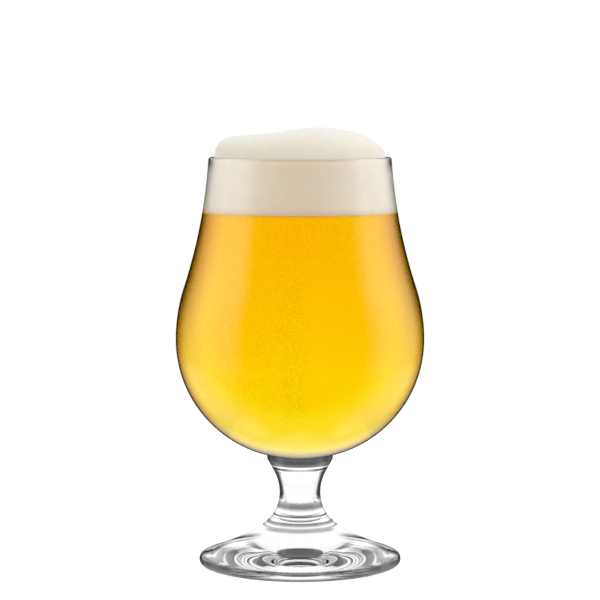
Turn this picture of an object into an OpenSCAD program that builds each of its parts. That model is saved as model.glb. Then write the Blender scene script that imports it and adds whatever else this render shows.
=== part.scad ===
// Stemmed beer glass with a tulip bowl, filled with lager under a tall head of foam.
// All sizes are in millimetres. The glass stands on the plane z = 0 and is turned round the Z axis.
// Foot, stem, collar and bowl are four pieces of clear glass, fused at flat seams.

/* [Foot] */
// Outer diameter of the foot
foot_d = 77.4; // [66:0.2:90]
// Radius of the rounded edge of the foot
edge_r = 1.7; // [1:0.1:2.4]
// Radius of the hollow sweep that falls from the stem to the edge
sweep_r = 88; // [60:1:140]
// Width of the flat ring that the glass stands on
ring_w = 3.6; // [2:0.1:6]
// Height of the hollow under the foot
hollow_h = 2; // [1:0.1:6]

/* [Stem] */
// Diameter at the waist, the thinnest place
waist_d = 15.7; // [13:0.1:18]
// Height of the waist above the table
waist_h = 27.1; // [23:0.1:32]
// Radius of the fillet that spreads from the waist into the foot
fillet_r = 15; // [12:0.1:17]
// Length of the stem from its waist up to the collar
neck_h = 9.1; // [7:0.1:13]

/* [Collar] */
// Diameter at the seam with the stem
neck_d = 20.7; // [18.6:0.1:23]
// Diameter under the bowl
collar_d = 25.2; // [23:0.1:30]
// Height of the collar
collar_h = 5.8; // [4:0.1:8]
// Height of the straight band at the top of the collar
collar_band_h = 1.7; // [0.5:0.1:2.5]

/* [Bowl] */
// Diameter at the widest place
belly_d = 94.8; // [84:0.2:106]
// Radius of the curve under the widest place
under_r = 45.5; // [41:0.1:52]
// Radius of the curve above the widest place
rise_r = 64.6; // [52:0.2:85]
// Radius of the reverse curve that draws the bowl in to the rim
flare_r = 200; // [120:1:280]
// Outer diameter at the rim
rim_d = 69.5; // [62:0.1:76]
// Height of the rim above the widest place
rim_rise = 69.4; // [60:0.2:80]
// Thickness of the wall
wall_t = 2; // [1.2:0.1:3]
// Thickness of the floor at its middle
floor_t = 5; // [3:0.1:9]

/* [Drink] */
// Depth of the foam inside the glass, from the rim down to the beer
foam_depth = 21; // [8:0.5:40]
// Height of the foam's peak above the rim
crown_h = 11.4; // [6:0.2:16]
// Height of the foam's low shoulder above the rim
shoulder_h = 8.1; // [4:0.2:12]
// Place of the slope between the shoulder and the peak, measured from the axis
slope_x = -5; // [-12:0.5:6]
// Width of that slope
slope_w = 5; // [2:0.5:9]

/* [Hidden] */
$fn = 120;
arc_steps = 24;
clear_glass = [0.88, 0.91, 0.92];
golden_beer = [0.98, 0.77, 0.1];
cream_foam = [0.95, 0.92, 0.85];

// Points along an arc round c, without its last point, where the next stretch begins.
function arc(c, r, from, to) = [
    for (i = [0 : arc_steps - 1])
        let (a = from + (to - from) * i / arc_steps)
        c + r * [cos(a), sin(a)]
];
// Direction from a to b, in degrees from 0 to 360.
function bearing(a, b) = (atan2(b.y - a.y, b.x - a.x) + 360) % 360;
function backwards(points) = [for (i = [len(points) - 1 : -1 : 0]) points[i]];
// Centre at distance ra from a and rb from b, on the left of the line from a to b.
function centre_between(a, ra, b, rb) =
    let (
        d = norm(b - a),
        u = (b - a) / d,
        along = (ra * ra - rb * rb + d * d) / (2 * d)
    )
    a + along * u + sqrt(ra * ra - along * along) * [-u.y, u.x];

// Foot: the sweep touches the stem's fillet on one side and the rounded edge on the other.
foot_r = foot_d / 2;
waist_r = waist_d / 2;
edge_c = [foot_r - edge_r, edge_r];
fillet_c = [waist_r + fillet_r, waist_h];
sweep_c = centre_between(fillet_c, sweep_r - fillet_r, edge_c, sweep_r + edge_r);
edge_a = bearing(edge_c, sweep_c);
hub_a = bearing(sweep_c, fillet_c);
hub = sweep_c + sweep_r * [cos(hub_a), sin(hub_a)];
hollow_r = edge_c.x - ring_w;
hollow_arc_r = (hollow_r * hollow_r + hollow_h * hollow_h) / (2 * hollow_h);
hollow_c = [0, hollow_h - hollow_arc_r];

// Stem: one arc from the waist up to the collar.
neck_r = neck_d / 2;
neck_z = waist_h + neck_h;
neck_in = neck_r - waist_r;
neck_arc_r = (neck_in * neck_in + neck_h * neck_h) / (2 * neck_in);
neck_c = [waist_r + neck_arc_r, waist_h];

// Collar and the bowl's seat on it.
collar_r = collar_d / 2;
seat_z = neck_z + collar_h;

// Bowl: two arcs meet at the widest place, and the reverse curve touches the upper one.
belly_r = belly_d / 2;
rim_r = rim_d / 2;
under_in = collar_r - (belly_r - under_r);
belly_z = seat_z + sqrt(under_r * under_r - under_in * under_in);
under_c = [belly_r - under_r, belly_z];
rise_c = [belly_r - rise_r, belly_z];
lip_z = belly_z + rim_rise - wall_t / 2;
flare_c = centre_between([rim_r, lip_z], flare_r, rise_c, rise_r + flare_r);
turn_a = bearing(rise_c, flare_c);

// Inside of the bowl: the wall keeps its thickness down to the widest place, then thickens to the floor.
floor_z = seat_z + floor_t;
inside_under_r = belly_z - floor_z;
inside_under_c = [belly_r - wall_t - inside_under_r, belly_z];
inside_flare_r = flare_r + wall_t;
inside_lip_a = 180 + asin((flare_c.y - lip_z) / inside_flare_r);
inside_rim_r = flare_c.x + inside_flare_r * cos(inside_lip_a);
inside_points = concat(
    [[0, floor_z]],
    arc(inside_under_c, inside_under_r, -90, 0),
    arc(rise_c, rise_r - wall_t, 0, turn_a),
    arc(flare_c, inside_flare_r, 180 + turn_a, inside_lip_a),
    [[inside_rim_r, lip_z]]
);
lip_r = (rim_r - inside_rim_r) / 2;
lip_c = [rim_r - lip_r, lip_z];

// Foam above the rim: a lumpy crown, steep at the low shoulder and easy on the other side.
beer_z = lip_z + lip_r - foam_depth;
crown_gap = 0.2;
crown_r = inside_rim_r - crown_gap;
crown_sink = 1;
crown_rings = 12;
crown_sides = 64;
crown_edge_power = 6.8;
crown_lean_power = 4.2;
function crown_power(a) = crown_edge_power - crown_lean_power * cos(a);
function crown_slope(x) = 1 / (1 + exp((slope_x - x) / slope_w));
function crown_top(x) = lip_r + shoulder_h + (crown_h - shoulder_h) * crown_slope(x);
function crown_rise(s, a) = crown_top(s * crown_r * cos(a)) * sqrt(1 - pow(s, crown_power(a)));
function crown_point(s, a) = [
    s * crown_r * cos(a),
    s * crown_r * sin(a),
    lip_z + (s < 1 ? crown_rise(s, a) : 0)
];

module turned(points) {
    rotate_extrude() polygon(points);
}

// Part of the bowl's inside between two heights.
module inside_between(z0, z1) {
    rotate_extrude()
        intersection() {
            polygon(concat(inside_points, [[0, lip_z]]));
            translate([0, z0]) square([belly_r, z1 - z0]);
        }
}

// Pressed foot: a hollow disc that rises in one sweep to the stem.
module foot() {
    color(clear_glass)
        turned(concat(
            arc(hollow_c, hollow_arc_r, 90, bearing(hollow_c, [hollow_r, 0])),
            [[hollow_r, 0]],
            arc(edge_c, edge_r, -90, edge_a),
            arc(sweep_c, sweep_r, edge_a + 180, hub_a),
            [hub, [0, hub.y]]
        ));
}

// Short waisted stem, fused to the foot and to the collar.
module stem() {
    color(clear_glass)
        turned(concat(
            [[0, hub.y]],
            arc(fillet_c, fillet_r, hub_a, 180),
            arc(neck_c, neck_arc_r, 180, bearing(neck_c, [neck_r, neck_z])),
            [[neck_r, neck_z], [0, neck_z]]
        ));
}

// Collar that the bowl sits on: a cone with a straight band under the bowl.
module collar() {
    color(clear_glass)
        turned([
            [0, neck_z],
            [neck_r, neck_z],
            [collar_r, seat_z - collar_band_h],
            [collar_r, seat_z],
            [0, seat_z]
        ]);
}

// Blown bowl with a fire-polished lip.
module bowl() {
    color(clear_glass)
        turned(concat(
            [[0, seat_z]],
            arc(under_c, under_r, bearing(under_c, [collar_r, seat_z]) - 360, 0),
            arc(rise_c, rise_r, 0, turn_a),
            arc(flare_c, flare_r, 180 + turn_a, bearing(flare_c, [rim_r, lip_z])),
            arc(lip_c, lip_r, 0, 180),
            backwards(inside_points)
        ));
}

// The beer fills the bowl from its floor to the foam.
module beer() {
    color(golden_beer)
        inside_between(floor_z, beer_z);
}

// The head of foam fills the neck of the bowl and stands above the rim.
module foam_head() {
    color(cream_foam) {
        inside_between(beer_z, lip_z);
        foam_crown();
    }
}

module foam_crown() {
    n = crown_sides;
    shares = [for (i = [1 : crown_rings]) sin(90 * i / crown_rings)];
    top = [for (s = shares) for (j = [0 : n - 1]) crown_point(s, 360 * j / n)];
    base = [for (j = [0 : n - 1]) crown_point(1, 360 * j / n) - [0, 0, crown_sink]];
    rings = len(shares);
    peak = n * (rings + 1);
    polyhedron(
        points = concat(top, base, [crown_point(0, 0)]),
        faces = concat(
            [for (j = [0 : n - 1]) [peak, (j + 1) % n, j]],
            [for (i = [0 : rings - 1]) for (j = [0 : n - 1]) [n * i + j, n * i + (j + 1) % n, n * (i + 1) + j]],
            [
                for (i = [0 : rings - 1])
                    for (j = [0 : n - 1])
                        [n * i + (j + 1) % n, n * (i + 1) + (j + 1) % n, n * (i + 1) + j]
            ],
            [[for (j = [0 : n - 1]) n * rings + j]]
        )
    );
}

foot();
stem();
collar();
bowl();
beer();
foam_head();
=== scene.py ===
import math
import random

import bmesh
import bpy
from mathutils import Matrix, Vector


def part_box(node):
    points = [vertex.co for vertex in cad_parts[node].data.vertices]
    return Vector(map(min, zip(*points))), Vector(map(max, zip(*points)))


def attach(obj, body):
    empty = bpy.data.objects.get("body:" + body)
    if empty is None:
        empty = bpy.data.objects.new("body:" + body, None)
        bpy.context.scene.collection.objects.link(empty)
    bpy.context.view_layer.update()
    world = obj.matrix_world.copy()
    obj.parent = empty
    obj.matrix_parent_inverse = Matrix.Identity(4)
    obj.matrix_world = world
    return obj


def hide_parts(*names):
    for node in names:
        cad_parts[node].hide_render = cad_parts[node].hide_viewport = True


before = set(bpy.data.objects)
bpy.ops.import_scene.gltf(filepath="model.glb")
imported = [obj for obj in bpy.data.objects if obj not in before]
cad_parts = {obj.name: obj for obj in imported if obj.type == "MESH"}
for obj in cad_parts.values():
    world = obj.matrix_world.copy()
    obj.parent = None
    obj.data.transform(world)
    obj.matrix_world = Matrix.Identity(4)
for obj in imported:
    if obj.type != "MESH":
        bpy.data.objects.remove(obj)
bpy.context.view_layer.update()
scene = bpy.context.scene


# Foot
# A pressed disc of clear soda-lime glass. Its top sweeps up to the seam with the stem in one
# hollow curve, its edge is rounded, and a shallow hollow underneath leaves a ring to stand on.
foot_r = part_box("foot")[1].x
hub = Vector((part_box("stem")[1].x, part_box("foot")[1].z))
foot_edge_r = 0.0017
foot_sweep_r = 0.088
foot_ring_w = 0.0036
foot_hollow_h = 0.002
# Widths over which the painted dark rim blends in, and of the painted dark ring under the stem.
edge_blend_w = 0.0005
lowest_ring_w = 0.0012
# Heights between which the sweep's outline melts into the backdrop.
sweep_melts = (0.0056, 0.0082)
glass_ior = 1.52
glass_shadow = (0.95, 0.95, 0.95)
WHITE = (1.0, 1.0, 1.0, 1.0)
ARC_STEPS = 40
TURN_STEPS = 224
SHARP_CORNER = math.radians(24)
ON_AXIS = 1e-7
ENDLESS = 99.0


def bearing(start, end):
    return math.atan2(end.y - start.y, end.x - start.x)


def arc(centre, radius, start, end, steps=ARC_STEPS):
    """Points of (distance from the axis, height) along an arc, without its last point."""
    angles = [start + (end - start) * i / steps for i in range(steps)]
    return [centre + radius * Vector((math.cos(a), math.sin(a))) for a in angles]


def centre_between(a, radius_a, b, radius_b):
    """Centre at those distances from a and b, on the left of the line from a to b."""
    gap = (b - a).length
    ahead = (b - a) / gap
    along = (radius_a ** 2 - radius_b ** 2 + gap ** 2) / (2 * gap)
    aside = math.sqrt(radius_a ** 2 - along ** 2)
    return a + along * ahead + aside * Vector((-ahead.y, ahead.x))


def round_about(steps):
    """Angles of equal steps once round the axis."""
    return [2 * math.pi * k / steps for k in range(steps)]


def turned(name, outline, materials, slot_of=None):
    """Closed outline spun round the axis of the glass. slot_of gives stretches of it another material."""
    corners, rings = [], []
    for point in outline:
        if point.x < ON_AXIS:
            rings.append([len(corners)])
            corners.append((0.0, 0.0, point.y))
            continue
        rings.append(list(range(len(corners), len(corners) + TURN_STEPS)))
        for a in round_about(TURN_STEPS):
            corners.append((point.x * math.cos(a), point.x * math.sin(a), point.y))
    faces, slots = [], []
    for i, here in enumerate(rings):
        there = rings[(i + 1) % len(rings)]
        if len(here) == len(there) == 1:
            continue
        for k in range(TURN_STEPS):
            m = (k + 1) % TURN_STEPS
            if len(here) == 1:
                faces.append((here[0], there[m], there[k]))
            elif len(there) == 1:
                faces.append((here[k], here[m], there[0]))
            else:
                faces.append((here[k], here[m], there[m], there[k]))
            slots.append((slot_of or {}).get(i, 0))
    mesh = bpy.data.meshes.new(name)
    mesh.from_pydata(corners, [], faces)
    for material in materials:
        mesh.materials.append(material)
    mesh.polygons.foreach_set("material_index", slots)
    mesh.shade_smooth()
    mesh.set_sharp_from_angle(angle=SHARP_CORNER)
    piece = bpy.data.objects.new(name, mesh)
    scene.collection.objects.link(piece)
    return piece


def fresh_material(name):
    material = bpy.data.materials.new(name)
    material.use_nodes = True
    material.node_tree.nodes.clear()
    return material, material.node_tree


def put(tree, kind, inputs=None, **settings):
    """A new node: inputs take a value or the socket that feeds them."""
    made = tree.nodes.new("ShaderNode" + kind)
    for key, value in settings.items():
        setattr(made, key, value)
    for key, value in (inputs or {}).items():
        if isinstance(value, bpy.types.NodeSocket):
            tree.links.new(value, made.inputs[key])
        else:
            made.inputs[key].default_value = value
    return made


def ramp(tree, factor, stops):
    """Colour ramp through stops of (position, linear colour or grey)."""
    made = put(tree, "ValToRGB", {"Fac": factor})
    elements = made.color_ramp.elements
    while len(elements) < len(stops):
        elements.new(1.0)
    for element, (position, colour) in zip(elements, stops):
        element.position = position
        element.color = (*colour, 1.0) if isinstance(colour, tuple) else (colour, colour, colour, 1.0)
    return made.outputs["Color"]


def spread(tree, value, start, end, low=0.0, high=1.0, course="LINEAR"):
    """Change from low to high while the value goes from start to end."""
    ends = {"Value": value, "From Min": start, "From Max": end, "To Min": low, "To Max": high}
    return put(tree, "MapRange", ends, interpolation_type=course).outputs["Result"]


def combine(tree, how, a, b):
    return put(tree, "Math", {0: a, 1: b}, operation=how).outputs[0]


def blended(tree, share, colour, other):
    return put(tree, "Mix", {0: share, 6: colour, 7: other}, data_type="RGBA").outputs[2]


def multiplied(tree, colour, other):
    made = put(tree, "Mix", {0: 1.0, 6: colour, 7: other}, data_type="RGBA", blend_type="MULTIPLY")
    return made.outputs[2]


def height_in(tree, place):
    return put(tree, "SeparateXYZ", {"Vector": place}).outputs["Z"]


def slant_of(tree):
    """How edge-on the surface is seen: 0 face on, 1 edge on."""
    return put(tree, "LayerWeight", {"Blend": 0.5}).outputs["Facing"]


def by_slant(tree, stops):
    """Tint that changes with how edge-on the glass is seen."""
    return ramp(tree, slant_of(tree), stops)


def front_only(tree, tint):
    """Tint for light on its way in; on its way out it isn't tinted again."""
    return blended(tree, put(tree, "NewGeometry").outputs["Backfacing"], tint, WHITE)


def let_through(tree, body, shade, patience, mirrored=True):
    """Lamps shine through the body, and light that was bent more often than patience is let out.
    A body that isn't mirrored stays out of the reflections on its neighbours."""
    rays = put(tree, "LightPath")
    shadow = rays.outputs["Is Shadow Ray"]
    late = combine(tree, "GREATER_THAN", rays.outputs["Ray Depth"], patience)
    free = combine(tree, "MAXIMUM", shadow, late)
    if not mirrored:
        outside = combine(tree, "LESS_THAN", rays.outputs["Transmission Depth"], 0.5)
        glossy = combine(tree, "MULTIPLY", rays.outputs["Is Glossy Ray"], outside)
        free = combine(tree, "MAXIMUM", free, glossy)
    clear = put(tree, "BsdfTransparent", {"Color": blended(tree, shadow, WHITE, (*shade, 1.0))})
    mix = put(tree, "MixShader", {0: free, 1: body.outputs[0], 2: clear.outputs[0]})
    put(tree, "OutputMaterial", {"Surface": mix.outputs[0]})


def thin_edge(tree, body, share, tint):
    """A share of the body lets the backdrop straight through, tinted, where the camera sees it."""
    seen = combine(tree, "MULTIPLY", share, put(tree, "LightPath").outputs["Is Camera Ray"])
    clear = put(tree, "BsdfTransparent", {"Color": tint})
    return put(tree, "MixShader", {0: seen, 1: body.outputs[0], 2: clear.outputs[0]})


def glass(name, ior, painted_shade_of, patience=ENDLESS, mirrored=True, edge_of=None):
    """Clear glass with the faint waves that fire-polishing leaves."""
    material, tree = fresh_material(name)
    place = put(tree, "TexCoord").outputs["Object"]
    waves = put(tree, "TexNoise", {"Vector": place, "Scale": 90.0, "Detail": 1.0})
    skin = put(tree, "Bump", {"Height": waves.outputs["Fac"], "Strength": 0.03, "Distance": 0.0002})
    # Its base colour carries the piece's painted shade.
    body = put(tree, "BsdfPrincipled", {
        "Base Color": painted_shade_of(tree, place),
        "Roughness": 0.0,
        "IOR": ior,
        "Transmission Weight": 1.0,
        "Normal": skin.outputs["Normal"],
    })
    if edge_of:
        body = thin_edge(tree, body, *edge_of(tree, place))
    let_through(tree, body, glass_shadow, patience, mirrored)
    return material


def fused_seam():
    material, tree = fresh_material("fused_seam")
    put(tree, "OutputMaterial", {"Surface": put(tree, "BsdfTransparent").outputs[0]})
    return material


edge_centre = Vector((foot_r - foot_edge_r, foot_edge_r))
sweep_centre = centre_between(hub, foot_sweep_r, edge_centre, foot_sweep_r + foot_edge_r)
hollow_r = edge_centre.x - foot_ring_w
hollow_arc_r = (hollow_r ** 2 + foot_hollow_h ** 2) / (2 * foot_hollow_h)
hollow_centre = Vector((0.0, foot_hollow_h - hollow_arc_r))
sweep_angle = bearing(edge_centre, sweep_centre)
hub_angle = bearing(sweep_centre, hub) + 2 * math.pi
foot_outline = (
    arc(hollow_centre, hollow_arc_r, math.pi / 2, bearing(hollow_centre, Vector((hollow_r, 0.0))))
    + [Vector((hollow_r, 0.0))]
    + arc(edge_centre, foot_edge_r, -math.pi / 2, sweep_angle)
    + arc(sweep_centre, foot_sweep_r, sweep_angle + math.pi, hub_angle)
    + [hub, Vector((0.0, hub.y))]
)


def foot_painted_shade(tree, place):
    """Painted shade: grey along the rounded edge, where it turns away from the eye, and a fine dark ring
    under the stem.
    """
    flat = put(tree, "VectorMath", {0: place, 1: (1.0, 1.0, 0.0)}, operation="MULTIPLY").outputs["Vector"]
    reach = put(tree, "VectorMath", {0: flat}, operation="LENGTH").outputs["Value"]
    on_edge = spread(tree, reach, edge_centre.x - edge_blend_w, edge_centre.x)
    rim = by_slant(tree, [(0.0, 1.0), (0.05, 0.9), (0.14, 0.2), (0.35, 0.03), (0.6, 0.05), (0.85, 0.3)])
    under_seam = spread(tree, height_in(tree, place), hub.y, hub.y - lowest_ring_w)
    sweep = ramp(tree, under_seam, [(0.0, 0.3), (0.3, 0.12), (0.66, 0.5), (1.0, 1.0)])
    return front_only(tree, blended(tree, on_edge, sweep, rim))


def sweep_edge(tree, place):
    """The sweep's outline melts into the backdrop, down to where the foot flattens, with a faint painted
    grey line along it.
    """
    slant = slant_of(tree)
    high = spread(tree, height_in(tree, place), *sweep_melts)
    share = combine(tree, "MULTIPLY", spread(tree, slant, 0.5, 0.66), high)
    return share, ramp(tree, slant, [(0.7, 0.99), (0.8, 0.92), (0.9, 0.85)])


foot_glass = glass("foot_glass", glass_ior, foot_painted_shade, mirrored=False, edge_of=sweep_edge)
seam = fused_seam()
foot = turned("pressed_foot", foot_outline, [foot_glass, seam], {len(foot_outline) - 2: 1})
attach(foot, "root")
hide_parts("foot")


# Stem
# A short solid rod of the same clear glass, drawn in at its waist and fused hot to the foot below
# and to the collar above, so no light is lost at either seam.
neck_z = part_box("stem")[1].z
neck_r = 0.01035
stem_fillet_r = 0.015
rings_end = 0.028
# Heights between which each of these parts of the painted shade sets in, from the table up.
edges_darken = (0.0195, 0.025)
window_starts = (0.0235, 0.0255)
stroke_narrows = (0.026, 0.033)
stroke_extra = 0.12
top_clears = (0.0332, 0.0342)
to_hub = (hub - sweep_centre).normalized()
fillet_centre = hub - stem_fillet_r * to_hub
waist_r = fillet_centre.x - stem_fillet_r
neck_rise = neck_z - fillet_centre.y
neck_arc_r = ((neck_r - waist_r) ** 2 + neck_rise ** 2) / (2 * (neck_r - waist_r))
neck_centre = Vector((waist_r + neck_arc_r, fillet_centre.y))
neck_end = Vector((neck_r, neck_z))
neck_angle = bearing(neck_centre, neck_end) % (2 * math.pi)
stem_outline = (
    [Vector((0.0, hub.y))]
    + arc(fillet_centre, stem_fillet_r, hub_angle, math.pi)
    + arc(neck_centre, neck_arc_r, math.pi, neck_angle)
    + [neck_end, Vector((0.0, neck_z))]
)


def painted_stem_rings(tree, height):
    """Painted shade: a grey band under the waist and fine dark rings from there down to the foot."""
    return ramp(tree, spread(tree, height, hub.y, rings_end), [
        (0.0, 0.3), (0.018, 0.15), (0.035, 0.45), (0.05, 0.75), (0.06, 1.0),
        (0.07, 1.0), (0.084, 0.3), (0.108, 0.21), (0.132, 0.05), (0.155, 0.08), (0.17, 0.6), (0.178, 1.0),
        (0.235, 1.0), (0.251, 0.25), (0.267, 1.0),
        (0.292, 1.0), (0.31, 0.2), (0.32, 0.012), (0.338, 0.012), (0.352, 0.35), (0.366, 1.0),
        (0.46, 1.0), (0.495, 0.7), (0.52, 0.26), (0.548, 0.078), (0.62, 0.055), (0.655, 0.124),
        (0.68, 0.154), (0.708, 0.38), (0.735, 1.0),
    ])


def stem_painted_shade(tree, place):
    """Painted shade: dark along the edges from the waist up, with the painted band and rings below."""
    height = height_in(tree, place)
    edge = by_slant(tree, [(0.42, 1.0), (0.55, 0.3), (0.66, 0.03), (0.8, 0.01)])
    edge = blended(tree, spread(tree, height, *edges_darken), WHITE, edge)
    return front_only(tree, multiplied(tree, edge, painted_stem_rings(tree, height)))


def stem_painted_stroke(tree, place):
    """A painted dark stroke down each side of the clear window, broader at the waist; painted pale grey
    sides under it.
    """
    height = height_in(tree, place)
    window = spread(tree, height, *window_starts)
    broader = combine(tree, "MULTIPLY", spread(tree, height, *stroke_narrows, stroke_extra, 0.0), window)
    slant = combine(tree, "ADD", slant_of(tree), broader)
    stroke = ramp(tree, slant, [(0.37, 1.0), (0.46, 0.86), (0.54, 0.45), (0.62, 0.2), (0.9, 0.22)])
    outline = ramp(tree, slant, [(0.6, 0.98), (0.7, 0.84), (0.82, 0.68)])
    rings = put(tree, "Gamma", {"Color": painted_stem_rings(tree, height), "Gamma": 0.5}).outputs[0]
    tint = multiplied(tree, blended(tree, window, outline, stroke), front_only(tree, rings))
    share = combine(tree, "MAXIMUM", spread(tree, slant, 0.32, 0.44), spread(tree, height, *top_clears))
    return share, tint


stem_glass = glass("stem_glass", glass_ior, stem_painted_shade, mirrored=False, edge_of=stem_painted_stroke)
stem = turned("drawn_stem", stem_outline, [stem_glass, seam], {0: 1, len(stem_outline) - 2: 1})
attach(stem, "root")
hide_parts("stem")


# Collar
# The cone of thick glass between the stem and the bowl. Its slate grey is painted shade, and its
# ground top face, where the bowl sits, is painted darker still.
collar_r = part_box("collar")[1].x
seat_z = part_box("collar")[1].z
collar_band_h = 0.0017
seat_mirror = (0.95, 0.95, 0.95, 1.0)
collar_outline = [
    Vector((0.0, neck_z)),
    neck_end,
    Vector((collar_r, seat_z - collar_band_h)),
    Vector((collar_r, seat_z)),
    Vector((0.0, seat_z)),
]


def collar_painted_slate(tree, place):
    """Painted shade: slate grey towards the bowl, above a clear lower end with one painted dark line."""
    level = spread(tree, height_in(tree, place), neck_z, seat_z)
    return front_only(tree, ramp(tree, level, [
        (0.1, 1.0), (0.15, 0.25), (0.19, 0.25), (0.26, 0.8), (0.29, 1.0), (0.325, 1.0), (0.36, 0.3),
        (0.39, 0.09), (0.45, (0.03, 0.034, 0.04)), (0.5, (0.045, 0.05, 0.056)),
        (0.57, (0.016, 0.018, 0.021)), (0.68, (0.006, 0.007, 0.008)), (0.8, (0.012, 0.014, 0.017)),
        (1.0, (0.012, 0.013, 0.015)),
    ]))


def collar_painted_line(tree, place):
    """The cone's clear lower end lets the backdrop straight through, but for its painted dark line and
    painted grey outline.
    """
    level = spread(tree, height_in(tree, place), neck_z, seat_z)
    slant = slant_of(tree)
    front = ramp(tree, level, [(0.06, 1.0), (0.12, 0.54), (0.19, 0.57), (0.25, 0.85), (0.29, 1.0)])
    corner = ramp(tree, level, [
        (0.03, 1.0), (0.08, 0.4), (0.15, 0.08), (0.19, 0.1), (0.24, 0.45), (0.29, 1.0),
    ])
    line = front_only(tree, blended(tree, spread(tree, slant, 0.2, 0.36), front, corner))
    outline = ramp(tree, slant, [(0.5, 1.0), (0.66, 0.7), (0.82, 0.5)])
    return spread(tree, level, 0.37, 0.33), multiplied(tree, line, outline)


def ground_seat_painted_dark():
    """The flat seat mirrors what strikes it at a slant, as a face of glass does; seen face on it is painted
    near black, as shade.
    """
    material, tree = fresh_material("ground_seat_painted_dark")
    place = put(tree, "TexCoord").outputs["Object"]
    grains = put(tree, "TexNoise", {"Vector": place, "Scale": 900.0, "Detail": 2.0})
    grey = ramp(tree, grains.outputs["Fac"], [(0.35, (0.004, 0.006, 0.012)), (0.75, (0.012, 0.018, 0.03))])
    mirror = spread(tree, slant_of(tree), 0.1, 0.16)
    colour = blended(tree, mirror, grey, seat_mirror)
    body = put(tree, "BsdfPrincipled", {"Base Color": colour, "Metallic": mirror, "Roughness": 0.0})
    put(tree, "OutputMaterial", {"Surface": body.outputs[0]})
    return material


collar_glass = glass("collar_glass", glass_ior, collar_painted_slate, mirrored=False, edge_of=collar_painted_line)
collar = turned("collar_cone", collar_outline, [collar_glass, seam, ground_seat_painted_dark()], {0: 1, 3: 2})
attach(collar, "root")
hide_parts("collar")


# Bowl
# A blown tulip of clear glass with a fire-polished lip. Its wall keeps its thickness down to the
# belly and thickens to the floor; where the beer wets it, the wall bends light less.
belly_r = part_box("bowl")[1].x
wall_t = belly_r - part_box("beer")[1].x
floor_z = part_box("beer")[0].z
beer_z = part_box("beer")[1].z
under_r = 0.0455
rise_r = 0.0646
flare_r = 0.2
rim_r = 0.03475
rim_rise = 0.0694
seat_gap = 0.00005
beer_ior = 1.34
# Heights between which the painted brown edge changes, and depths below the lip between which its painted
# shade darkens.
bottom_ends = (0.05, 0.062)
brown_broadens = (0.075, 0.1)
lip_darkens = (0.0055, 0.0015)
painted_dark_from_below = (0.001, 0.001, 0.001, 1.0)
# Light that has been bent more often than this is let out of the bowl.
LIGHT_PATIENCE = 5.5
LIP_STEPS = 16
SAME_HEIGHT = 1e-6
belly_z = seat_z + math.sqrt(under_r ** 2 - (collar_r - (belly_r - under_r)) ** 2)
under_centre = Vector((belly_r - under_r, belly_z))
rise_centre = Vector((belly_r - rise_r, belly_z))
lip_z = belly_z + rim_rise - wall_t / 2
rim = Vector((rim_r, lip_z))
flare_centre = centre_between(rim, flare_r, rise_centre, rise_r + flare_r)
turn_angle = bearing(rise_centre, flare_centre)


def inside_of_bowl(clearance, low, high):
    """Outline of the bowl's inside from one height to another, drawn in by a clearance."""
    under = belly_z - floor_z - clearance
    under_at = Vector((belly_r - wall_t - clearance - under, belly_z))
    flare = flare_r + wall_t + clearance
    end = math.pi + math.asin((flare_centre.y - high) / flare)
    points = (
        [Vector((0.0, floor_z + clearance))]
        + arc(under_at, under, -math.pi / 2, 0.0)
        + arc(rise_centre, rise_r - wall_t - clearance, 0.0, turn_angle)
        + arc(flare_centre, flare, math.pi + turn_angle, end)
        + [Vector((flare_centre.x + flare * math.cos(end), high))]
    )
    return [p for p in points if p.y >= low]


wet_inside = inside_of_bowl(0.0, 0.0, beer_z)
dry_inside = [p for p in inside_of_bowl(0.0, 0.0, lip_z) if p.y > beer_z + SAME_HEIGHT]
inside_rim_r = dry_inside[-1].x
lip_r = (rim_r - inside_rim_r) / 2
under_start = bearing(under_centre, Vector((collar_r, seat_z + seat_gap)))
bowl_outside = (
    [Vector((0.0, seat_z + seat_gap))]
    + arc(under_centre, under_r, under_start, 0.0, 2 * ARC_STEPS)
    + arc(rise_centre, rise_r, 0.0, turn_angle)
    + arc(flare_centre, flare_r, math.pi + turn_angle, bearing(flare_centre, rim) + 2 * math.pi)
    + arc(Vector((rim_r - lip_r, lip_z)), lip_r, 0.0, math.pi, LIP_STEPS)
)
bowl_inside = (wet_inside + dry_inside)[::-1]
wet_from = len(bowl_outside) + len(dry_inside)
wet_stretches = {i: 1 for i in range(wet_from, wet_from + len(wet_inside) - 1)}


def painted_beer_edges(tree, height):
    """Painted shade: brown along the edges of the beer where it is seen edge on, in a broad band above the
    belly and a narrow one below.
    """
    above = by_slant(tree, [
        (0.36, 1.0), (0.475, (0.78, 0.72, 0.75)), (0.545, (0.6, 0.5, 0.52)), (0.6, (0.49, 0.39, 0.4)),
        (0.65, (0.336, 0.265, 0.27)), (0.7, (0.185, 0.145, 0.15)), (0.75, (0.11, 0.085, 0.09)),
        (0.78, (0.07, 0.055, 0.055)), (0.82, 0.012), (0.88, 0.002),
    ])
    below = by_slant(tree, [
        (0.62, 1.0), (0.69, (0.85, 0.71, 0.54)), (0.74, (0.63, 0.46, 0.3)), (0.79, (0.46, 0.31, 0.19)),
        (0.82, (0.36, 0.25, 0.15)), (0.84, (0.1, 0.07, 0.05)), (0.86, 0.006), (0.92, 0.003),
    ])
    bottom = by_slant(tree, [
        (0.65, 1.0), (0.72, (0.93, 0.72, 0.57)), (0.77, (0.78, 0.47, 0.3)), (0.815, (0.62, 0.35, 0.2)),
        (0.84, (0.45, 0.26, 0.15)), (0.86, (0.15, 0.1, 0.07)), (0.88, 0.01), (0.94, 0.003),
    ])
    low = blended(tree, spread(tree, height, *bottom_ends), bottom, below)
    return blended(tree, spread(tree, height, *brown_broadens), low, above)


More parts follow.
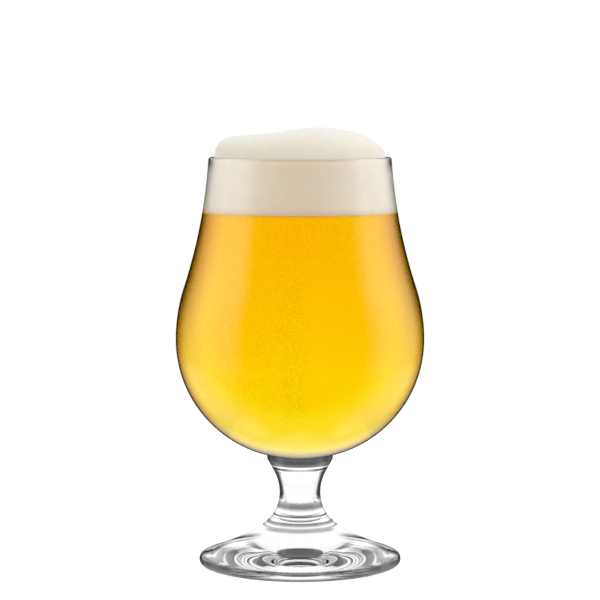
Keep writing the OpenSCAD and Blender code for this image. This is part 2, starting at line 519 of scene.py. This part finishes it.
def painted_foam_edges(tree, height):
    """Painted shade over the foam: a warm, darker front, pale between, dark where the wall is seen edge on
    and at the corners of the lip.
    """
    front = [
        (0.0, (0.8, 0.67, 0.55)), (0.053, (0.856, 0.77, 0.67)), (0.15, (0.94, 0.92, 0.87)), (0.25, 1.0),
    ]
    wall = by_slant(tree, front + [(0.6, 1.0), (0.7, 0.75), (0.79, 0.55), (0.9, 0.35), (0.96, 0.05)])
    lip = by_slant(tree, front + [
        (0.56, 1.0), (0.64, 0.75), (0.7, 0.3), (0.75, 0.12), (0.8, 0.05), (0.86, 0.01),
    ])
    start, end = (lip_z - depth for depth in lip_darkens)
    return blended(tree, spread(tree, height, start, end), wall, lip)


def bowl_painted_shade(tree, place):
    """Painted shade: the beer's dark edges below the foam and the foam's above; seen from inside the stem,
    painted nearly black.
    """
    height = height_in(tree, place)
    by_foam = combine(tree, "GREATER_THAN", height, beer_z)
    tint = blended(tree, by_foam, painted_beer_edges(tree, height), painted_foam_edges(tree, height))
    again = combine(tree, "GREATER_THAN", put(tree, "LightPath").outputs["Transmission Depth"], 1.5)
    inside = put(tree, "NewGeometry").outputs["Backfacing"]
    from_below = put(tree, "Math", {0: again, 1: inside}, operation="SUBTRACT", use_clamp=True).outputs[0]
    return blended(tree, from_below, tint, painted_dark_from_below)


# Painted shade: the wet wall greys a little where it is seen edge on.
def wet_tint(tree, place):
    return by_slant(tree, [(0.0, 1.0), (1.0, 0.97)])


dry_glass = glass("bowl_glass", glass_ior, bowl_painted_shade, LIGHT_PATIENCE)
wet_glass = glass("wet_glass", glass_ior / beer_ior, wet_tint, LIGHT_PATIENCE)
bowl = turned("blown_bowl", bowl_outside + bowl_inside, [dry_glass, wet_glass], wet_stretches)
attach(bowl, "root")
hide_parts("bowl")


# Beer
# Clear golden lager that fills the bowl up to the foam. It is deeper in colour under the foam and
# paler towards the floor, with a fine grain of rising gas in it.
beer_clearance = 0.0001
beer_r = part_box("beer")[1].x
beer_shadow = (1.0, 0.82, 0.4)
# The wet wall has bent the light already, so the skin of the beer hardly does.
beer_skin_ior = 1.001
# Heights between which the stream of gas widens, and between which it grows dense.
gas_spreads = (0.103, 0.118)
gas_gathers = (0.056, 0.066)
gas_above = (0.6, 0.6, 0.6, 1.0)


def gold_depth(tree, level):
    """Gold that deepens upwards, and its change from the middle of the glass to the sides."""
    gold = ramp(tree, level, [
        (0.0, (1.0, 0.9, 0.02)),
        (0.03, (1.0, 0.86, 0.004)),
        (0.07, (1.0, 0.755, 0.001)),
        (0.105, (1.0, 0.69, 0.0)),
        (0.14, (1.0, 0.61, 0.0)),
        (0.175, (1.0, 0.565, 0.0)),
        (0.24, (1.0, 0.57, 0.0)),
        (0.34, (1.0, 0.545, 0.0)),
        (0.46, (1.0, 0.449, 0.0)),
        (0.65, (1.0, 0.384, 0.0)),
        (0.86, (0.98, 0.314, 0.0)),
        (0.982, (0.95, 0.304, 0.0)),
        (0.992, (0.88, 0.27, 0.0)),
        (1.0, (0.76, 0.23, 0.0)),
    ])
    in_neck = by_slant(tree, [
        (0.0, (1.0, 0.706, 1.0)), (0.05, (1.0, 0.757, 1.0)), (0.15, (1.0, 0.9, 1.0)),
        (0.27, (1.0, 0.774, 1.0)),
    ])
    in_belly = by_slant(tree, [
        (0.0, (1.0, 0.71, 1.0)), (0.05, (1.0, 0.68, 1.0)), (0.1, (1.0, 0.68, 1.0)), (0.125, (1.0, 0.7, 1.0)),
        (0.16, (1.0, 0.8, 1.0)), (0.2, (1.0, 0.88, 1.0)), (0.27, (1.0, 0.8, 1.0)),
    ])
    return multiplied(tree, gold, blended(tree, spread(tree, level, 0.6, 0.85), in_belly, in_neck))


def gas_grain(tree, place, axes):
    """Fine specks of gas: dense in a stream left of the middle, even under the foam, few at the floor."""
    gas = put(tree, "TexVoronoi", {"Vector": place, "Scale": 2600.0})
    speck = put(tree, "SeparateColor", {"Color": gas.outputs["Color"]}).outputs["Red"]
    stream = ramp(tree, spread(tree, axes.outputs["X"], -beer_r, beer_r), [
        (0.41, 0.6), (0.45, 1.0), (0.5, 1.0), (0.54, 0.3), (0.58, 0.12), (0.74, 0.12), (0.82, 0.45),
    ])
    height = axes.outputs["Z"]
    amount = blended(tree, spread(tree, height, *gas_spreads), stream, gas_above)
    amount = combine(tree, "MULTIPLY", amount, spread(tree, height, *gas_gathers, 0.1, 0.6))
    swing = combine(tree, "MULTIPLY", combine(tree, "SUBTRACT", speck, 0.6), amount)
    return put(tree, "CombineColor", {
        "Red": put(tree, "Math", {0: swing, 1: 0.6, 2: 0.98}, operation="MULTIPLY_ADD").outputs[0],
        "Green": combine(tree, "ADD", swing, 1.0),
        "Blue": 1.0,
    }).outputs[0]


def lager():
    material, tree = fresh_material("lager")
    place = put(tree, "TexCoord").outputs["Object"]
    axes = put(tree, "SeparateXYZ", {"Vector": place})
    gold = gold_depth(tree, spread(tree, axes.outputs["Z"], floor_z, beer_z))
    colour = multiplied(tree, gold, gas_grain(tree, place, axes))
    body = put(tree, "BsdfPrincipled", {
        "Base Color": front_only(tree, colour),
        "Roughness": 0.35,
        "IOR": beer_skin_ior,
        "Transmission Weight": 1.0,
    })
    let_through(tree, body, beer_shadow, LIGHT_PATIENCE)
    return material


beer_outline = inside_of_bowl(beer_clearance, 0.0, beer_z) + [Vector((0.0, beer_z))]
beer = turned("lager_fill", beer_outline, [lager()])
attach(beer, "root")
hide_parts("beer")


# Bubbles
# Beads of gas that cling to the wall in the lower half of the beer before they rise. Each is a
# little flatter against the glass, and they sit most densely at the front left.
BUBBLE_SEED = 7
BUBBLE_GROUPS = (
    # how many, degrees from the front, heights and radii in millimetres
    (34, (-44, 6), (52, 68), (0.14, 0.26)),
    (24, (-11, 5), (68, 80), (0.14, 0.22)),
    (60, (-180, 180), (52, 66), (0.1, 0.17)),
)
MM = 0.001
bead_stands = 1.3
bead_flat = 0.8


def bubble_skin():
    material, tree = fresh_material("bubble_skin")
    place = put(tree, "TexCoord").outputs["Object"]
    haze = put(tree, "TexNoise", {"Vector": place, "Scale": 700.0, "Detail": 1.0})
    amber = ramp(tree, haze.outputs["Fac"], [(0.3, (0.5, 0.24, 0.06)), (0.7, (0.7, 0.38, 0.12))])
    body = put(tree, "BsdfPrincipled", {"Base Color": amber, "Roughness": 0.3, "IOR": 1.1})
    put(tree, "OutputMaterial", {"Surface": body.outputs[0]})
    return material


def wall_at(height):
    """Point of (distance from the axis, height) on the beer's outside, and the direction inwards there."""
    below = height < belly_z
    centre = under_centre + Vector((under_r - wall_t - (belly_z - floor_z), 0.0)) if below else rise_centre
    radius = (belly_z - floor_z if below else rise_r - wall_t) - beer_clearance
    point = Vector((centre.x + math.sqrt(radius ** 2 - (height - belly_z) ** 2), height))
    return point, (centre - point).normalized()


def bubble_mesh():
    chance = random.Random(BUBBLE_SEED)
    beads = bmesh.new()
    for count, turns, heights, radii in BUBBLE_GROUPS:
        for _ in range(count):
            angle = math.radians(chance.uniform(*turns) - 90)
            radius = chance.uniform(*radii) * MM
            point, inwards = wall_at(chance.uniform(*heights) * MM)
            seat = point + bead_stands * radius * inwards
            facing = Vector((inwards.x * math.cos(angle), inwards.x * math.sin(angle), inwards.y))
            placed = (
                Matrix.Translation((seat.x * math.cos(angle), seat.x * math.sin(angle), seat.y))
                @ facing.to_track_quat("Z", "Y").to_matrix().to_4x4()
                @ Matrix.Diagonal((1.0, 1.0, bead_flat, 1.0))
            )
            bmesh.ops.create_icosphere(beads, subdivisions=2, radius=radius, matrix=placed)
    mesh = bpy.data.meshes.new("beer_bubbles")
    beads.to_mesh(mesh)
    beads.free()
    mesh.shade_smooth()
    mesh.materials.append(bubble_skin())
    return mesh


bubbles = bpy.data.objects.new("beer_bubbles", bubble_mesh())
scene.collection.objects.link(bubbles)
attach(bubbles, "root")


# Foam head
# Fine wet foam, cream white. It clings to the wall from the beer to the lip and stands above the
# rim as a smooth crown: a low shoulder on the left, then a broad peak that falls away on the right.
foam_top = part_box("foam_head")[1].z
foam_cling = 0.00025
foam_gap = 0.00002
foam_z = beer_z + foam_gap
floor_shares = (0.35, 0.7)
shoulder_h = 0.0081
crown_h = 0.0114
slope_x = -0.005
slope_w = 0.005
crown_gap = 0.0002
crown_r = inside_rim_r - crown_gap
crown_edge_power = 6.8
crown_lean_power = 4.2
CROWN_RINGS = 48


def crown_rise(share, angle):
    x = share * crown_r * math.cos(angle)
    slope = 1 / (1 + math.exp((slope_x - x) / slope_w))
    power = crown_edge_power - crown_lean_power * math.cos(angle)
    return (lip_r + shoulder_h + (crown_h - shoulder_h) * slope) * math.sqrt(max(0.0, 1 - share ** power))


def cream_foam():
    material, tree = fresh_material("cream_foam")
    place = put(tree, "TexCoord").outputs["Object"]
    # The foam's tone, warmer towards the beer, with a painted highlight that whitens the top of the crown.
    foam_tone_and_painted_highlight = ramp(tree, spread(tree, height_in(tree, place), beer_z, foam_top), [
        (0.0, (0.93, 0.87, 0.75)), (0.06, (0.95, 0.935, 0.88)), (0.2, (0.92, 0.91, 0.86)),
        (0.6, (0.91, 0.9, 0.855)), (0.7, (0.93, 0.89, 0.79)), (0.92, (0.94, 0.905, 0.82)),
        (1.0, (1.0, 0.99, 0.96)),
    ])
    patches = put(tree, "TexNoise", {"Vector": place, "Scale": 120.0, "Detail": 3.0})
    mottle = ramp(tree, patches.outputs["Fac"], [(0.3, 0.96), (0.7, 1.0)])
    froth = put(tree, "TexVoronoi", {"Vector": place, "Scale": 1400.0})
    skin = put(tree, "Bump", {"Height": froth.outputs["Distance"], "Strength": 0.25, "Distance": 0.0003})
    body = put(tree, "BsdfPrincipled", {
        "Base Color": multiplied(tree, foam_tone_and_painted_highlight, mottle),
        "Roughness": 0.75,
        "Subsurface Weight": 1.0,
        "Subsurface Radius": (1.0, 0.6, 0.3),
        "Subsurface Scale": 0.006,
        "Normal": skin.outputs["Normal"],
    })
    put(tree, "OutputMaterial", {"Surface": body.outputs[0]})
    return material


def foam_mesh():
    wall = inside_of_bowl(-foam_cling, beer_z - SAME_HEIGHT, lip_z)
    base = [Vector((wall[0].x * share, foam_z)) for share in (*floor_shares, 1.0)]
    angles = round_about(TURN_STEPS)
    rings = [[(point.x, point.y)] * TURN_STEPS for point in base + wall]
    for i in range(CROWN_RINGS):
        share = math.cos(math.pi / 2 * i / CROWN_RINGS)
        rings.append([(share * crown_r, lip_z + crown_rise(share, a)) for a in angles])
    corners = [(0.0, 0.0, foam_z)]
    for ring in rings:
        for a, (r, z) in zip(angles, ring):
            corners.append((r * math.cos(a), r * math.sin(a), z))
    corners.append((0.0, 0.0, lip_z + crown_rise(0.0, 0.0)))
    faces = []
    for k in range(TURN_STEPS):
        m = (k + 1) % TURN_STEPS
        faces.append((0, 1 + m, 1 + k))
        for i in range(len(rings) - 1):
            low, high = 1 + i * TURN_STEPS, 1 + (i + 1) * TURN_STEPS
            faces.append((low + k, low + m, high + m, high + k))
        last = 1 + (len(rings) - 1) * TURN_STEPS
        faces.append((last + k, last + m, len(corners) - 1))
    mesh = bpy.data.meshes.new("foam_crown")
    mesh.from_pydata(corners, [], faces)
    mesh.shade_smooth()
    return mesh


foam = bpy.data.objects.new("foam_crown", foam_mesh())
foam.data.materials.append(cream_foam())
scene.collection.objects.link(foam)
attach(foam, "root")
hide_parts("foam_head")


# Table
# A plain white table that keeps the glass's shadow. Seen through the glass it is as white as the
# backdrop, and it leaves the soft boxes' reflections on the bowl undisturbed.
table_r = 0.45
table_drop = 0.0003
table_grey = (0.52, 0.52, 0.52, 1.0)
table_glow = 0.75
# Distances from the axis between which the flags set in.
flags_start = (0.04, 0.065)
backdrop_white = 1.06
flag_grey = 0.1
room_grey = 0.2
# Light that has been bent less often than this has crossed bare glass alone.
BARE_GLASS = 3.5
TABLE_SIDES = 96


def fade(tree, value, start, end, low=0.0, high=1.0):
    """Soft change from low to high while the value goes from start to end."""
    return spread(tree, value, start, end, low, high, "SMOOTHSTEP")


def choose(tree, factor, otherwise, chosen):
    return put(tree, "Mix", {0: factor, 2: otherwise, 3: chosen}).outputs[0]


def off_axis(tree, direction):
    """Angle to either side of the line of view, from the point's or the ray's x and y."""
    turn = combine(tree, "ARCTAN2", direction.outputs["X"], direction.outputs["Y"])
    return put(tree, "Math", {0: turn}, operation="ABSOLUTE").outputs[0]


def by_degrees(*angles):
    return [math.radians(a) for a in angles]


def flags(tree, angle):
    """White backdrop with a dark flag on either side of it and a grey room behind the camera."""
    near = fade(tree, angle, *by_degrees(30, 46), backdrop_white, flag_grey)
    return combine(tree, "ADD", near, fade(tree, angle, *by_degrees(74, 96), 0.0, room_grey))


def white_table():
    material, tree = fresh_material("white_table")
    rays = put(tree, "LightPath")
    place = put(tree, "TexCoord").outputs["Object"]
    reach = put(tree, "VectorMath", {0: place}, operation="LENGTH").outputs["Value"]
    flagged = flags(tree, off_axis(tree, put(tree, "SeparateXYZ", {"Vector": place})))
    bare = combine(tree, "LESS_THAN", rays.outputs["Transmission Depth"], BARE_GLASS)
    share = combine(tree, "MULTIPLY", bare, fade(tree, reach, *flags_start))
    seen = choose(tree, share, backdrop_white, flagged)
    matt = put(tree, "BsdfDiffuse", {"Color": table_grey})
    glow = combine(tree, "MULTIPLY", rays.outputs["Is Camera Ray"], table_glow)
    shine = put(tree, "Emission", {"Color": WHITE, "Strength": glow})
    lit = put(tree, "AddShader", {0: matt.outputs[0], 1: shine.outputs[0]})
    white = put(tree, "Emission", {"Color": WHITE, "Strength": seen})
    first = combine(tree, "LESS_THAN", rays.outputs["Diffuse Depth"], 0.5)
    clear = combine(tree, "MULTIPLY", first, rays.outputs["Is Transmission Ray"])
    both = put(tree, "MixShader", {0: clear, 1: lit.outputs[0], 2: white.outputs[0]})
    put(tree, "OutputMaterial", {"Surface": both.outputs[0]})
    return material


table_edge = [(table_r * math.cos(a), table_r * math.sin(a), -table_drop) for a in round_about(TABLE_SIDES)]
table_mesh = bpy.data.meshes.new("table")
table_mesh.from_pydata(table_edge, [], [list(range(TABLE_SIDES))])
table_mesh.materials.append(white_table())
table = bpy.data.objects.new("table", table_mesh)
scene.collection.objects.link(table)
table.visible_glossy = False


# Light
# Soft boxes stand left and right of the glass, above and behind it, and in front. The backdrop is
# white; grey flags beside it and a dark ceiling give the clear glass of foot and stem part of its
# lines, and painted shade in the glass gives the rest.
ambient = 0.7
ambient_inside = 1.72
warm_tone = (1.0, 0.84, 0.68, 1.0)
lamp_target = Vector((0.0, 0.0, 0.09))
world = bpy.data.worlds.new("studio")
world.use_nodes = True
world.node_tree.nodes.clear()
scene.world = world
room = world.node_tree
rays = put(room, "LightPath")
towards = put(room, "SeparateXYZ", {"Vector": put(room, "TexCoord").outputs["Generated"]})
aside = off_axis(room, towards)
away = towards.outputs["Y"]
upward = towards.outputs["Z"]


def beside(start, end, low=0.0, high=1.0):
    """Soft change with the degrees to either side of the line of view."""
    return fade(room, aside, *by_degrees(start, end), low, high)


def above(start, end, low=0.0, high=1.0):
    """Soft change with the degrees above the table."""
    return fade(room, upward, *(math.sin(a) for a in by_degrees(start, end)), low, high)


def dimmed(light, *dimmers):
    for dimmer in dimmers:
        light = combine(room, "MULTIPLY", light, dimmer)
    return light


# What the glass reflects: the two boxes, brighter towards the top, and the table's white sides.
left_box = dimmed(beside(27, 82), beside(109, 130, 1.0, 0.0))
right_box = dimmed(beside(25, 70), beside(94, 120, 1.0, 0.0))
boxes = choose(room, combine(room, "LESS_THAN", towards.outputs["X"], 0.0), right_box, left_box)
boxes = dimmed(boxes, above(-24, 34, 0.8, 1.6), above(-40, -15), above(50, 70, 1.0, 0.2))
table_sides = dimmed(
    beside(10, 62, 0.05, 1.05), above(-22, -3, 1.0, 0.0), above(-80, -62), beside(70, 112, 1.0, 0.0)
)
table_front = fade(room, away, -0.4, -0.02, 0.0, 0.62)
table_back = fade(room, away, 0.35, 0.75, 0.0, 0.55)
table_below = dimmed(
    combine(room, "ADD", table_front, table_back), beside(5, 55, 1.0, 0.4), above(-40, -15, 1.0, 0.0)
)
backdrop = dimmed(beside(25, 45, 1.0, 0.0), above(6, 14))
reflected = boxes
for surface in (combine(room, "MAXIMUM", table_sides, table_below), backdrop):
    reflected = combine(room, "MAXIMUM", reflected, surface)

# What shows through bare glass: the backdrop between its flags. The drink sees the white room alone.
through_bare = dimmed(flags(room, aside), above(28, 33, 1.0, flag_grey))
through_drink = above(33, 48, backdrop_white, flag_grey)
deep = combine(room, "GREATER_THAN", rays.outputs["Transmission Depth"], BARE_GLASS)
through = choose(room, deep, through_bare, through_drink)

# What lights the foam: an even room, a little warmer on the camera's side.
behind_glass = combine(room, "GREATER_THAN", rays.outputs["Transmission Depth"], 0.5)
scattered = combine(room, "GREATER_THAN", rays.outputs["Diffuse Depth"], 0.5)
on_foam = choose(room, behind_glass, ambient, fade(room, away, -0.3, -0.95, ambient_inside, 1.0))
strength = choose(room, rays.outputs["Is Glossy Ray"], ambient, reflected)
strength = choose(room, behind_glass, strength, through)
strength = choose(room, scattered, strength, on_foam)
strength = choose(room, rays.outputs["Is Camera Ray"], strength, 1.0)
warmth = dimmed(scattered, behind_glass, fade(room, away, -0.5, -0.97))
air = put(room, "Background", {"Color": blended(room, warmth, WHITE, warm_tone), "Strength": strength})
put(room, "OutputWorld", {"Surface": air.outputs[0]})

for name, place, width, height, radiance in (
    ("soft_box_left", (-0.6, 0.0, 0.3), 0.9, 0.7, (0.15, 0.15, 0.15)),
    ("soft_box_right", (0.65, 0.08, 0.3), 0.8, 0.7, (0.55, 0.55, 0.55)),
    ("soft_box_top", (0.0, 0.25, 0.8), 0.7, 0.5, (1.0, 1.0, 1.0)),
    ("soft_box_front", (0.15, -0.9, 0.55), 0.6, 0.5, (1.2, 0.98, 0.7)),
):
    lamp = bpy.data.lights.new(name, "AREA")
    lamp.shape = "RECTANGLE"
    lamp.size = width
    lamp.size_y = height
    lamp.energy = math.pi * width * height
    lamp.color = radiance
    box = bpy.data.objects.new(name, lamp)
    box.location = place
    box.rotation_euler = (lamp_target - Vector(place)).to_track_quat("-Z", "Y").to_euler()
    box.visible_camera = False
    box.visible_transmission = False
    box.visible_glossy = False
    scene.collection.objects.link(box)


# Camera
# A long lens a little above the rim, looking down on the glass by five degrees. Light may bend
# often enough to cross the foot, the stem and the full bowl.
looks_down = 4.97
camera_data = bpy.data.cameras.new("camera")
camera_data.lens = 132
camera_data.sensor_width = 36
camera_data.clip_start = 0.01
camera = bpy.data.objects.new("camera", camera_data)
camera.location = (0.0, -0.836, 0.1739)
camera.rotation_euler = (math.radians(90 - looks_down), 0.0, 0.0)
scene.collection.objects.link(camera)
scene.camera = camera
scene.view_settings.view_transform = "Standard"
scene.cycles.max_bounces = 24
scene.cycles.transmission_bounces = 24
scene.cycles.glossy_bounces = 12
scene.cycles.transparent_max_bounces = 32
scene.cycles.denoising_prefilter = "NONE"
